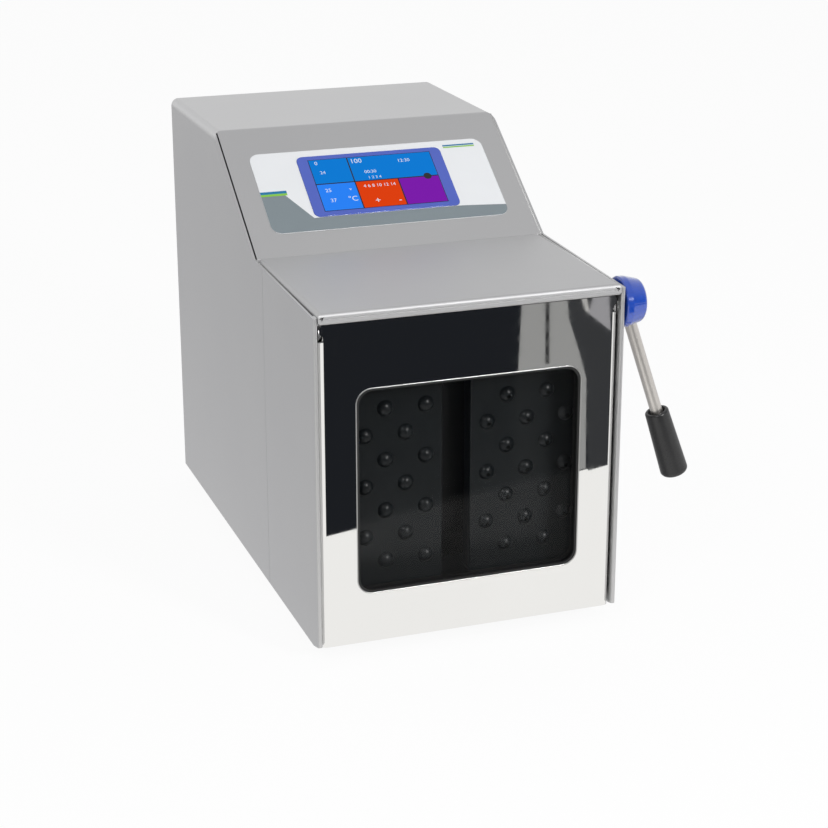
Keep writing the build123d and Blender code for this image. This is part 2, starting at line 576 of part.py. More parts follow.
def lever_grip():
    """Moulded grip, wider towards its rounded end, with a dished collar round the rod."""
    r0, r1 = GRIP_TOP_D / 2, GRIP_END_D / 2
    side = [(0, 0), (r0, 0), (r1, GRIP_L), (0, GRIP_L)]
    face = make_face(Polyline(*side, close=True))
    face = rounded_at(face, [(r1, GRIP_L)], GRIP_ROUND)
    face = rounded_at(face, [(r0, 0)], 1.4)
    grip = revolve(Plane.XZ * face, Axis.Z)
    dish = Cone(r0 - 2.2, LEVER_ROD_D / 2 + 0.6, GRIP_RECESS)
    grip -= Pos(0, 0, GRIP_RECESS / 2) * dish
    bore = Pos(0, 0, GRIP_DEPTH / 2) * Cylinder(LEVER_ROD_D / 2, GRIP_DEPTH)
    return LEVER * Pos(0, 0, LEVER_OUT) * (grip - bore)


# ---------------------------------------------------------------- chamber
def chamber_liner():
    outer = block(-LINER_W / 2, LINER_W / 2, LINER_Y0, BULKHEAD_Y, LINER_Z, LINER_TOP)
    outer = fillet(outer.edges().filter_by(Axis.Y), 5)
    t = LINER_T
    inner = block(-LINER_W / 2 + t, LINER_W / 2 - t, LINER_Y0 - 1, BULKHEAD_Y + 1, LINER_Z + t, LINER_TOP - t)
    return outer - fillet(inner.edges().filter_by(Axis.Y), 5 - t)


def bulkhead():
    half = INSIDE - FIT / 2
    back = BULKHEAD_Y + BULKHEAD_FLANGE
    wall = block(-half, half, BULKHEAD_Y, back, BASE_TOP, BULKHEAD_TOP)
    wall -= block(-half + SHEET, half - SHEET, BULKHEAD_Y + BULKHEAD_T, back + 1, BASE_TOP + BULKHEAD_T,
                  BULKHEAD_TOP + 1)
    cut = INSIDE - SHEET - FIT
    wall -= both_sides(block(cut, HALF_W, BULKHEAD_Y - 1, back + 1, 0, BASE_TOP + BASE_FLANGE + FIT))
    for side in (-1, 1):
        wall -= bar_y(PUSH_ROD_D / 2 + 2, BULKHEAD_Y - 1, back, side * PADDLE_X, PADDLE_MID_Z)
    return wall


def centre_guard():
    """Folded guard plate on the bulkhead, behind the gap between the paddles."""
    half = GUARD_W / 2
    guard = block(-half, half, GUARD_Y, BULKHEAD_Y, GUARD_Z0, GUARD_Z1)
    hollow = block(-half + LINER_T, half - LINER_T, GUARD_Y + LINER_T, BULKHEAD_Y + 1,
                   GUARD_Z0 + LINER_T, GUARD_Z1 + 1)
    guard = fillet(guard.edges().filter_by(Axis.Z).group_by(Axis.Y)[0], 2.5)
    return guard - hollow


def rod_bushes():
    """Flanged linear bushes of the two push rods, on the back of the bulkhead."""
    made = []
    y0 = BULKHEAD_Y + BULKHEAD_T
    for side in (-1, 1):
        x = side * PADDLE_X
        plate = Pos(x, PADDLE_MID_Z) * RectangleRounded(BUSH_PLATE, BUSH_PLATE, 6)
        bush = along_y(plate, y0, y0 + BUSH_PLATE_T)
        bush += bar_y(BUSH_D / 2, y0, BUSH_END, x, PADDLE_MID_Z)
        bush -= bar_y(PUSH_ROD_D / 2 + BUSH_BORE_FIT, y0 - 1, BUSH_END + 1, x, PADDLE_MID_Z)
        made.append(bush)
    return Compound(children=made)


# ---------------------------------------------------------------- paddles
def paddle(side):
    """Moulded paddle: dished back with ribs, staggered domes on its face, a boss for its rod."""
    x = side * PADDLE_X
    face = Pos(x, PADDLE_MID_Z) * RectangleRounded(PADDLE_W, PADDLE_H, PADDLE_R)
    plate = along_y(face, PADDLE_FACE_Y, PADDLE_BACK)
    plate = fillet(plate.edges().group_by(Axis.Y)[0], 1.5)
    w, h = PADDLE_W - 2 * PADDLE_WALL, PADDLE_H - 2 * PADDLE_WALL
    pocket = along_y(Pos(x, PADDLE_MID_Z) * RectangleRounded(w, h, PADDLE_R - PADDLE_WALL),
                     PADDLE_FACE_Y + 2 * PADDLE_WALL, PADDLE_BACK + 1)
    rib_y0 = PADDLE_FACE_Y + 2 * PADDLE_WALL
    pocket -= block(x - PADDLE_WALL / 2, x + PADDLE_WALL / 2, rib_y0 - 1, PADDLE_BACK, PADDLE_Z,
                    PADDLE_Z + PADDLE_H)
    for z in (PADDLE_MID_Z - PADDLE_H / 4, PADDLE_MID_Z, PADDLE_MID_Z + PADDLE_H / 4):
        pocket -= block(x - PADDLE_W / 2, x + PADDLE_W / 2, rib_y0 - 1, PADDLE_BACK, z - PADDLE_WALL / 2,
                        z + PADDLE_WALL / 2)
    pocket -= bar_y(PUSH_ROD_D / 2 + 4, rib_y0 - 1, PADDLE_BACK, x, PADDLE_MID_Z)
    plate -= pocket
    plate -= bar_y(PUSH_ROD_D / 4, rib_y0, PADDLE_BACK + 1, x, PADDLE_MID_Z)
    return plate + bumps(side)


def bumps(side):
    """Spherical domes in staggered rows, three and two by turns, as one shape."""
    ball_r = (BUMP_D**2 / 4 + BUMP_H**2) / (2 * BUMP_H)
    sink = ball_r - BUMP_H
    cap = revolve(Plane.XZ * make_face(
        Line((0, -0.3), (0, BUMP_H))
        + ThreePointArc((0, BUMP_H), (ball_r * sin(0.3), ball_r * cos(0.3) - sink), (BUMP_D / 2, 0))
        + Line((BUMP_D / 2, 0), (BUMP_D / 2, -0.3))
        + Line((BUMP_D / 2, -0.3), (0, -0.3))), Axis.Z)
    dome = Rot(90, 0, 0) * cap
    x = side * PADDLE_X
    top_z = PADDLE_MID_Z + (BUMP_ROWS - 1) / 2 * BUMP_PITCH_Z
    spots = []
    for row in range(BUMP_ROWS):
        three = (row % 2 == 0) == (side < 0)
        columns = (-1, 0, 1) if three else (-0.5, 0.5)
        spots += [(x + c * BUMP_PITCH_X, top_z - row * BUMP_PITCH_Z) for c in columns]
    return Part() + [Pos(a, PADDLE_FACE_Y, b) * dome for a, b in spots]


def push_rod(side):
    """Ground rod from the paddle's boss back to a forked end."""
    x, z = side * PADDLE_X, PADDLE_MID_Z
    rod = bar_y(PUSH_ROD_D / 2, PADDLE_BACK, CLEVIS_Y, x, z)
    rod += bar_y(PUSH_ROD_D / 4, PADDLE_FACE_Y + 2 * PADDLE_WALL, PADDLE_BACK, x, z)
    end = WRIST_Y + EYE_R
    fork = block(x - CLEVIS_W / 2, x + CLEVIS_W / 2, CLEVIS_Y, end, z - CLEVIS_H / 2, z + CLEVIS_H / 2)
    fork = fillet(fork.edges().filter_by(Axis.X).group_by(Axis.Y)[-1], EYE_R)
    slot = CLEVIS_W / 2 - CLEVIS_CHEEK
    fork -= block(x - slot, x + slot, CLEVIS_Y + CLEVIS_BASE, end + 1, z - CLEVIS_H, z + CLEVIS_H)
    fork -= bar_x(WRIST_D / 2, x - CLEVIS_W, x + CLEVIS_W, WRIST_Y, z)
    return rod + fork


# ---------------------------------------------------------------- drive
def crank_shaft():
    """Shaft with two eccentrics half a turn apart, one up and one down at rest."""
    shaft = bar_x(CRANK_D / 2, PULLEY_X - PULLEY_W / 2, PEDESTAL_X + PEDESTAL_T / 2 + 4, CRANK_Y, CRANK_Z)
    for side in (-1, 1):
        x, z = side * PADDLE_X, CRANK_Z - side * STROKE
        shaft += bar_x(ECCENTRIC_R, x - ECCENTRIC_T / 2, x + ECCENTRIC_T / 2, CRANK_Y, z)
    return shaft


def connecting_rod(side):
    """Rod from its eccentric to the fork of the push rod."""
    x, z = side * PADDLE_X, CRANK_Z - side * STROKE
    big = Pos(CRANK_Y, z) * Circle(BIG_END_R)
    small = Pos(WRIST_Y, CRANK_Z) * Circle(EYE_R)
    web = make_face(Polyline((WRIST_Y, CRANK_Z - 6), (CRANK_Y, z - 13), (CRANK_Y, z + 13),
                             (WRIST_Y, CRANK_Z + 6), close=True))
    link = along_x(big + small + web, x - LINK_T / 2, x + LINK_T / 2)
    link -= bar_x(ECCENTRIC_R + HINGE_FIT, x - LINK_T, x + LINK_T, CRANK_Y, z)
    return link - bar_x(WRIST_D / 2, x - LINK_T, x + LINK_T, WRIST_Y, CRANK_Z)


def grooved_pulley(r, bore):
    """A pulley with one vee groove, along X, about the origin."""
    h = PULLEY_W / 2
    side = [(-h, bore), (-h, r), (-BELT_W / 2 - 1, r), (-BELT_W / 4, r - GROOVE), (BELT_W / 4, r - GROOVE),
            (BELT_W / 2 + 1, r), (h, r), (h, bore)]
    return revolve(make_face(Polyline(*side, close=True)), Axis.X)


def crank_pulley():
    wheel = grooved_pulley(CRANK_PULLEY_R, CRANK_D / 2)
    for k in range(5):
        angle = radians(72 * k)
        wheel -= bar_x(6, -PULLEY_W, PULLEY_W, 22 * cos(angle), 22 * sin(angle))
    return Pos(PULLEY_X, CRANK_Y, CRANK_Z) * wheel


def motor_pulley():
    return Pos(PULLEY_X, MOTOR_Y, CRANK_Z) * grooved_pulley(MOTOR_PULLEY_R, MOTOR_SHAFT_D / 2)


def belt_loop(grow):
    """Side outline of the belt's path round both pulleys, set out by grow."""
    r0, r1 = CRANK_PULLEY_R - GROOVE + BELT_FIT + grow, MOTOR_PULLEY_R - GROOVE + BELT_FIT + grow
    lean = (r0 - r1) / CENTRES
    rise = sqrt(1 - lean**2)
    near, far = CRANK_Y + r0 * lean, MOTOR_Y + r1 * lean
    joined = make_face(Polyline((near, CRANK_Z + r0 * rise), (far, CRANK_Z + r1 * rise),
                                (far, CRANK_Z - r1 * rise), (near, CRANK_Z - r0 * rise), close=True))
    return joined + Pos(CRANK_Y, CRANK_Z) * Circle(r0) + Pos(MOTOR_Y, CRANK_Z) * Circle(r1)


def drive_belt():
    half = BELT_W / 4 - BELT_FIT
    return along_x(belt_loop(BELT_T) - belt_loop(0), PULLEY_X - half, PULLEY_X + half)


def crank_pedestals():
    """Cast pedestals that carry the crank shaft off the base plate."""
    made = []
    foot = PEDESTAL_FOOT / 2
    sole = BASE_TOP + 9
    outline = make_face(Polyline((CRANK_Y - foot, BASE_TOP), (CRANK_Y + foot, BASE_TOP),
                                 (CRANK_Y + foot, sole),
                                 (CRANK_Y + PEDESTAL_HEAD_R, CRANK_Z), (CRANK_Y - PEDESTAL_HEAD_R, CRANK_Z),
                                 (CRANK_Y - foot, sole), close=True))
    outline += Pos(CRANK_Y, CRANK_Z) * Circle(PEDESTAL_HEAD_R)
    opening = Pos(CRANK_Y, (BASE_TOP + CRANK_Z) / 2 - 8) * RectangleRounded(36, 44, 8)
    for side in (-1, 1):
        x = side * PEDESTAL_X
        stand = along_x(outline - opening, x - PEDESTAL_T / 2, x + PEDESTAL_T / 2)
        stand -= bar_x(CRANK_D / 2 + HINGE_FIT, x - PEDESTAL_T, x + PEDESTAL_T, CRANK_Y, CRANK_Z)
        made.append(stand)
    return Compound(children=made)


def motor_x():
    """Left face of the motor, against its bracket."""
    return PULLEY_X + PULLEY_W / 2 + PULLEY_CLEAR + BRACKET_T


def motor_bracket():
    x1 = motor_x()
    reach = MOTOR_R * 0.95
    top, foot_end = CRANK_Z + MOTOR_R * 0.8, x1 + BRACKET_FOOT
    plate = block(x1 - BRACKET_T, x1, MOTOR_Y - reach, MOTOR_Y + reach, BASE_TOP, top)
    plate += block(x1, foot_end, MOTOR_Y - reach, MOTOR_Y + reach, BASE_TOP, BASE_TOP + BRACKET_T)
    web_top = CRANK_Z - MOTOR_R - MOTOR_ROUND
    gusset = make_face(Polyline((x1, BASE_TOP), (foot_end - 2 * BRACKET_T, BASE_TOP), (x1, web_top),
                                close=True))
    for y in (MOTOR_Y - reach, MOTOR_Y + reach - BRACKET_T):
        plate += along_y(gusset, y, y + BRACKET_T)
    return plate - bar_x(MOTOR_SPIGOT_R + FIT, x1 - 2 * BRACKET_T, x1 + 1, MOTOR_Y, CRANK_Z)


def motor():
    x0 = motor_x()
    body = bar_x(MOTOR_R, x0, x0 + MOTOR_L, MOTOR_Y, CRANK_Z)
    body = fillet(body.edges().filter_by(GeomType.CIRCLE).group_by(Axis.X)[-1], MOTOR_ROUND)
    body += bar_x(MOTOR_SPIGOT_R, x0 - BRACKET_T, x0, MOTOR_Y, CRANK_Z)
    return body - bar_x(MOTOR_SHAFT_D / 2 + HINGE_FIT, x0 - 2 * BRACKET_T, x0 + 22, MOTOR_Y, CRANK_Z)


def motor_shaft():
    return bar_x(MOTOR_SHAFT_D / 2, PULLEY_X - PULLEY_W / 2, motor_x() + 21, MOTOR_Y, CRANK_Z)


# ---------------------------------------------------------------- electronics and back
def electronics_tray():
    half = INSIDE - FIT / 2
    back = BACK_Y - 2 * SHEET - FIT
    tray = block(-half, half, TRAY_Y0, back, TRAY_Z, TRAY_Z + BACK_FLANGE)
    return tray - block(-half + SHEET, half - SHEET, TRAY_Y0 - 1, back + 1, TRAY_Z + SHEET, TRAY_Z + 40)


def power_supply():
    w, d, h = PSU
    x0, y0, z0 = PSU_X, TRAY_Y0 + STANDOFF_INSET, TRAY_Z + SHEET
    case = block(x0, x0 + w, y0, y0 + d, z0, z0 + h)
    return chamfer(case.edges().group_by(Axis.Z)[-1], PSU_BEVEL)


def control_board():
    """Board on four standoffs, with a relay, a terminal block and a capacitor."""
    w, d, t = BOARD
    x0, y0, z0 = BOARD_SIDE - INSIDE, TRAY_Y0 + STANDOFF_H + 2 * FIT, TRAY_Z + SHEET
    under, top = z0 + STANDOFF_H, z0 + STANDOFF_H + t
    board = block(x0, x0 + w, y0, y0 + d, under, top)
    for x in (x0 + STANDOFF_INSET, x0 + w - STANDOFF_INSET):
        for y in (y0 + STANDOFF_INSET, y0 + d - STANDOFF_INSET):
            board += bar_z(STANDOFF_R, z0, under, x, y)
    board += block(x0 + w / 8, x0 + w * 3 / 8, y0 + d / 6, y0 + d / 2, top, top + 2 * STANDOFF_H)
    board += block(x0 + w / 2, x0 + w * 5 / 6, y0 + d / 4, y0 + d * 2 / 5, top, top + 1.4 * STANDOFF_H)
    return board + bar_z(2.4 * STANDOFF_R, top, top + 2.6 * STANDOFF_H, x0 + w * 2 / 3, y0 + d * 0.7)


def fan_housing():
    y1 = BACK_Y
    face = Pos(FAN_X, FAN_Z) * (RectangleRounded(FAN_SIZE, FAN_SIZE, 4) - Circle(FAN_R + 1.2))
    case = along_y(face, y1 - FAN_T, y1)
    motor_side = y1 - FAN_T
    for k in range(3):
        arm = block(0, FAN_R + 2, motor_side, motor_side + 2, -2, 2)
        case += Pos(FAN_X, 0, FAN_Z) * Rot(0, 120 * k, 0) * arm
    return case + bar_y(12, motor_side, motor_side + 2, FAN_X, FAN_Z)


def fan_rotor():
    y0, y1 = BACK_Y - FAN_T + 2.4, BACK_Y - 1.2
    hub = bar_y(11, y0, y1, 0, 0)
    for k in range(FAN_BLADES):
        blade = block(9, FAN_R, y0 + 3, y0 + 4.4, -7, 7)
        blade = Pos(0, y0 + 4, 0) * Rot(28, 0, 0) * Pos(0, -y0 - 4, 0) * blade
        hub += Rot(0, 360 / FAN_BLADES * k, 0) * blade & bar_y(FAN_R, y0, y1, 0, 0)
    return Pos(FAN_X, 0, FAN_Z) * hub


def mains_inlet():
    """Three-pole inlet with its socket well and blades."""
    x, z = INLET_X, INLET_Z
    body = block(x - INLET_W / 2, x + INLET_W / 2, HOUSING_D - INLET_DEPTH - 8, HOUSING_D, z - INLET_H / 2,
                 z + INLET_H / 2)
    plate = along_y(Pos(x, z) * RectangleRounded(INLET_PLATE_W, INLET_PLATE_H, 5), HOUSING_D, REAR_Y)
    well = block(x - INLET_W / 2 + 1.5, x + INLET_W / 2 - 1.5, HOUSING_D - INLET_DEPTH, REAR_Y + 1,
                 z - INLET_H / 2 + 1.5, z + INLET_H / 2 - 1.5)
    well = chamfer(well.edges().filter_by(Axis.Y).group_by(Axis.Z)[-1], 4)
    inlet = body + plate - well
    blade = block(-1, 1, HOUSING_D - INLET_DEPTH - 1, HOUSING_D - 3, -2, 2)
    for dx, dz in ((-7, -2), (0, 2), (7, -2)):
        inlet += Pos(x + dx, 0, z + dz) * blade
    return inlet


def switch_bezel():
    x, z = SWITCH_X, INLET_Z
    w, h = ROCKER_W / 2, ROCKER_H / 2
    bezel = block(x - w, x + w, BACK_Y - 8, HOUSING_D, z - h, z + h)
    bezel += along_y(Pos(x, z) * RectangleRounded(ROCKER_W + 5, ROCKER_H + 5, 2), HOUSING_D, REAR_Y)
    bezel -= block(x - w + 1.2, x + w - 1.2, BACK_Y - 5.5, REAR_Y + 1, z - h + 1.2, z + h - 1.2)
    reach = w - 1.2 + TRUNNION_L
    return bezel - bar_x(TRUNNION_R + HINGE_FIT, x - reach, x + reach, REAR_Y - ROCKER_PIVOT, z)


def rocker():
    """Rocker in its off position: a shallow vee that tips about its two trunnions."""
    w = ROCKER_W / 2 - 1.2 - FIT
    h = ROCKER_H / 2 - 1.2 - 1.0
    drop = h * tan(radians(ROCKER_TILT))
    y0 = REAR_Y - 2.0
    side = [(y0, 0), (y0 - drop, h), (y0 - drop - 1.4, h), (y0 - 4.4, 2.2), (y0 - 4.4, -2.2), (y0 - 2.2, -h),
            (y0, -h)]
    face = make_face(Polyline(*side, close=True))
    reach = w + FIT + TRUNNION_L - HINGE_FIT
    tip = Pos(0, 0, INLET_Z) * along_x(face, SWITCH_X - w, SWITCH_X + w)
    return tip + bar_x(TRUNNION_R, SWITCH_X - reach, SWITCH_X + reach, REAR_Y - ROCKER_PIVOT, INLET_Z)


# ---------------------------------------------------------------- write every node
MAKERS = {
    "housing_shell": housing_shell,
    "side_panel_left": lambda: side_panel(-1),
    "side_panel_right": lambda: side_panel(1),
    "hood_plate": hood_plate,
    "base_plate": base_plate,
    "feet": feet,
    "back_panel": back_panel,
    "back_screws": back_screws,
    "fascia_overlay": fascia_overlay,
    "touch_screen": touch_screen,
    "display_module": display_module,
    "door_panel": door_panel,
    "window_gasket": window_gasket,
    "window_pane": window_pane,
    "window_frame": window_frame,
    "window_screws": window_screws,
    "bag_clamp": bag_clamp,
    "hinge_shaft": hinge_shaft,
    "shaft_collars": shaft_collars,
    "hinge_boss": hinge_boss,
    "hinge_bush": hinge_bush,
    "lever_hub": lever_hub,
    "lever_rod": lever_rod,
    "lever_grip": lever_grip,
    "chamber_liner": chamber_liner,
    "bulkhead": bulkhead,
    "centre_guard": centre_guard,
    "rod_bushes": rod_bushes,
    "paddle_left": lambda: paddle(-1),
    "paddle_right": lambda: paddle(1),
    "push_rod_left": lambda: push_rod(-1),
    "push_rod_right": lambda: push_rod(1),
    "crank_shaft": crank_shaft,
    "connecting_rod_left": lambda: connecting_rod(-1),
    "connecting_rod_right": lambda: connecting_rod(1),
    "crank_pulley": crank_pulley,
    "motor_pulley": motor_pulley,
    "drive_belt": drive_belt,
    "crank_pedestals": crank_pedestals,
    "motor_bracket": motor_bracket,
    "motor": motor,
    "motor_shaft": motor_shaft,
    "electronics_tray": electronics_tray,
    "power_supply": power_supply,
    "control_board": control_board,
    "fan_housing": fan_housing,
    "fan_rotor": fan_rotor,
    "mains_inlet": mains_inlet,
    "switch_bezel": switch_bezel,
    "power_rocker": rocker,
}

for node, maker in MAKERS.items():
    export_step(TO_BENCH * maker(), f"parts/{node}.step")

print("origin", round(ORIGIN_X, 3), round(ORIGIN_Y, 3))
print("crank", round(CRANK_Y, 2), "motor", round(MOTOR_Y, 2))
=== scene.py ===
"""Looks of a benchtop paddle blender: folded stainless housing, mirror door, touch panel and lever."""

import math

import bpy
import numpy as np
from mathutils import Matrix, Vector


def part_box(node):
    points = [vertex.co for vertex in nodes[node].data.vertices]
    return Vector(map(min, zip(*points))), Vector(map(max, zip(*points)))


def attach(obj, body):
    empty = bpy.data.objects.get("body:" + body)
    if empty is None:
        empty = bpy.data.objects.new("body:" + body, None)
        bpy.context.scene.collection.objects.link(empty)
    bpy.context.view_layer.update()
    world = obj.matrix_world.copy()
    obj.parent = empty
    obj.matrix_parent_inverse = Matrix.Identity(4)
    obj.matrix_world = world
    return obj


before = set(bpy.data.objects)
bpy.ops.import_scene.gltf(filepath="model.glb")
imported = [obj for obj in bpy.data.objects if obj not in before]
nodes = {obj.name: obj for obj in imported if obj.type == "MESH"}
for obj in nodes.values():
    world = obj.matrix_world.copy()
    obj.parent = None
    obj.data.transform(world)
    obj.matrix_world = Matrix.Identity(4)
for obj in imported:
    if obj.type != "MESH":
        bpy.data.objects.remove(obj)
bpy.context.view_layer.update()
mm = 0.001

# ---------------------------------------------------------------- camera
# A long lens on a stand, a little above the machine and to its left, looking down with no roll.
# Its place is taken from the housing's lower front left corner, in metres.
front_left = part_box("side_panel_left")[0]
camera_data = bpy.data.cameras.new("camera")
camera_data.lens = 89.6
camera_data.sensor_width = 36.0
camera = bpy.data.objects.new("camera", camera_data)
camera.location = front_left + Vector((-0.3779, -1.2653, 0.6472))
line_of_sight = Vector((0.3155, 0.8881, -0.3344))
camera.rotation_euler = line_of_sight.to_track_quat("-Z", "Y").to_euler()
bpy.context.scene.collection.objects.link(camera)
bpy.context.scene.camera = camera
bpy.context.scene.view_settings.view_transform = "Standard"


# ---------------------------------------------------------------- studio
# A white paper sweep that ends in front of the machine, with a dark room and a grey stand beyond it.
# Polished steel shows all of them; the eye of the camera sees only white paper.
def linear(colour):
    """sRGB hex to linear RGBA: the low end divided by 12.92, the rest ((c + 0.055) / 1.055) ** 2.4."""
    c = np.array([int(colour[k:k + 2], 16) for k in (1, 3, 5)]) / 255
    c = np.where(c <= 0.04045, c / 12.92, ((c + 0.055) / 1.055) ** 2.4)
    return (*c.tolist(), 1.0)


def add(tree, kind, links=None, **settings):
    """A node of that kind: settings go to its properties, links to its inputs, as sockets or values."""
    node = tree.nodes.new(kind)
    for name, value in settings.items():
        setattr(node, name, value)
    for name, value in (links or {}).items():
        socket = node.inputs[name]
        if isinstance(value, bpy.types.NodeSocket):
            tree.links.new(value, socket)
        else:
            socket.default_value = value
    return node


# The colour sockets of a Mix node: its two inputs and its output.
colour_a, colour_b, colour_out = 6, 7, 2

# The paper is mostly shown as plain white, and the rest is lit, so that a faint shadow stays on it.
plain_share = 0.93
paper = bpy.data.materials.new("white_paper")
paper.use_nodes = True
tree = paper.node_tree
tree.nodes.clear()
rays = add(tree, "ShaderNodeLightPath")
seen = add(tree, "ShaderNodeMath", {0: rays.outputs["Is Camera Ray"],
                                    1: rays.outputs["Is Transmission Ray"]}, operation="MAXIMUM")
lit_paper = add(tree, "ShaderNodeBsdfDiffuse", {"Color": linear("#F2F2F2")})
plain = add(tree, "ShaderNodeEmission", {"Color": linear("#FFFFFF"), "Strength": 1.0})
in_mirrors = add(tree, "ShaderNodeEmission", {"Color": linear("#F5F4F2"), "Strength": 1.0})
mirrored = add(tree, "ShaderNodeMixShader", {0: rays.outputs["Is Glossy Ray"], 1: lit_paper.outputs[0],
                                             2: in_mirrors.outputs[0]})
shown = add(tree, "ShaderNodeMath", {0: seen.outputs[0], 1: plain_share}, operation="MULTIPLY")
mixed = add(tree, "ShaderNodeMixShader", {0: shown.outputs[0], 1: mirrored.outputs[0],
                                          2: plain.outputs[0]})
add(tree, "ShaderNodeOutputMaterial", {"Surface": mixed.outputs[0]})


def stage_card(name, corners, material):
    """A flat card of the studio with those corners, counted round."""
    mesh = bpy.data.meshes.new(name)
    mesh.from_pydata(corners, [], [list(range(len(corners)))])
    mesh.materials.append(material)
    card = bpy.data.objects.new(name, mesh)
    bpy.context.scene.collection.objects.link(card)
    return card


floor_half = 6.0
signs = ((-1, -1), (1, -1), (1, 1), (-1, 1))
stage_card("floor", [(x * floor_half, y * floor_half, 0) for x, y in signs], paper)


def glow_card(name, corners, height, colour, far_colour=None):
    """A flat card that only shiny surfaces see, in one tone or fading to another out to the left."""
    fade_length = 0.9
    material = bpy.data.materials.new(name)
    material.use_nodes = True
    made = material.node_tree
    made.nodes.clear()
    light = add(made, "ShaderNodeEmission", {"Color": linear(colour), "Strength": 1.0})
    if far_colour:
        coordinates = add(made, "ShaderNodeTexCoord")
        place = add(made, "ShaderNodeSeparateXYZ", {0: coordinates.outputs["Object"]})
        out = add(made, "ShaderNodeMapRange", {"Value": place.outputs["X"], "From Min": front_left.x,
                                               "From Max": front_left.x - fade_length})
        fade = add(made, "ShaderNodeMix", {0: out.outputs[0], colour_a: linear(colour),
                                           colour_b: linear(far_colour)}, data_type="RGBA")
        made.links.new(fade.outputs[colour_out], light.inputs["Color"])
    add(made, "ShaderNodeOutputMaterial", {"Surface": light.outputs[0]})
    places = [(front_left.x + x * mm, front_left.y + y * mm, height * mm) for x, y in corners]
    card = stage_card(name, places, material)
    card.visible_camera = False
    card.visible_diffuse = False
    card.visible_shadow = False
    card.visible_transmission = False


# Corners are in mm from the housing's lower front left corner, heights in mm above the floor.  They are
# the outlines that the door mirrors in the photograph, traced and carried back through the mirror to
# the floor, so they are flat stand-ins for a room whose real shape isn't known.  In the mirror the
# white paper ends at sweep_end, and the room's floor goes on from there.
sweep_end, room_end, wide = -844, -5900, 3000
stand_side = [(441, -516), (468, -593), (508, -713), (534, -776), (561, sweep_end)]
glow_card("grey_table", [(-wide, 0), (wide, 0), (wide, wide), (-wide, wide)], 0.5, "#D6D6D7", "#AEAEB0")
glow_card("dark_room", [(49, -210), (422, -308), (734, sweep_end), (250, sweep_end)], 1.0, "#1D1F23")
glow_card("dark_corner", [(338, -282), *stand_side, (734, sweep_end), (422, -308)], 1.2, "#37383A")
glow_card("grey_stand", [(264, -267), (338, -287), *stand_side, (506, sweep_end), (478, -776),
                         (389, -569)], 1.5, "#959594")
glow_card("stand_edge", [(420, -572), (424, -571), (541, sweep_end), (536, sweep_end)], 2.0, "#2A2A2B")
glow_card("far_stand", [(536, -723), (532, -656), (616, sweep_end), (586, sweep_end), (564, -774)], 1.5,
          "#98979A")
glow_card("stand_gap", [(535, -727), (539, -727), (560, -782), (553, -782)], 2.0, "#B9B8B5")
glow_card("room_floor", [(-wide, room_end), (wide, room_end), (wide, sweep_end), (-wide, sweep_end)], 0.5,
          "#6E6F71")

# The sky of the studio is bright behind the machine, half as bright overhead and dark at the front.
world = bpy.data.worlds.new("studio")
world.use_nodes = True
bpy.context.scene.world = world
tree = world.node_tree
tree.nodes.clear()
rays = add(tree, "ShaderNodeLightPath")
seen = add(tree, "ShaderNodeMath", {0: rays.outputs["Is Camera Ray"],
                                    1: rays.outputs["Is Transmission Ray"]}, operation="MAXIMUM")
coordinates = add(tree, "ShaderNodeTexCoord")
place = add(tree, "ShaderNodeSeparateXYZ", {0: coordinates.outputs["Generated"]})
ramps = []
for stops in (((0.2, "#FFFFFF"), (0.95, "#CACACB")), ((0.1, "#5C5D60"), (0.95, "#CACACB"))):
    ramp = add(tree, "ShaderNodeValToRGB", {0: place.outputs["Z"]})
    for element, (position, colour) in zip(ramp.color_ramp.elements, stops):
        element.position = position
        element.color = linear(colour)
    ramps.append(ramp)
behind, ahead = ramps
back_share = add(tree, "ShaderNodeMapRange", {"Value": place.outputs["Y"], "From Min": -0.5, "From Max": 0.3})
sky = add(tree, "ShaderNodeMix", {0: back_share.outputs[0], colour_a: ahead.outputs[0],
                                  colour_b: behind.outputs[0]}, data_type="RGBA")
room = add(tree, "ShaderNodeBackground", {"Color": sky.outputs[colour_out], "Strength": 1.0})
white = add(tree, "ShaderNodeBackground", {"Color": linear("#FFFFFF"), "Strength": 1.0})
mixed = add(tree, "ShaderNodeMixShader", {0: seen.outputs[0], 1: room.outputs[0], 2: white.outputs[0]})
add(tree, "ShaderNodeOutputWorld", {"Surface": mixed.outputs[0]})


def soft_box(name, place, aim, size, power):
    """A square soft light at a place, facing a point."""
    data = bpy.data.lights.new(name, "AREA")
    data.size = size
    data.energy = power
    light = bpy.data.objects.new(name, data)
    light.location = place
    light.rotation_euler = (Vector(aim) - Vector(place)).to_track_quat("-Z", "Y").to_euler()
    bpy.context.scene.collection.objects.link(light)


soft_box("soft_box_left", (-1.3, -1.5, 1.6), (0, 0, 0.15), 0.6, 9)
soft_box("soft_box_front", (0.62, -1.75, 0.95), (0, 0, 0.2), 0.3, 19)


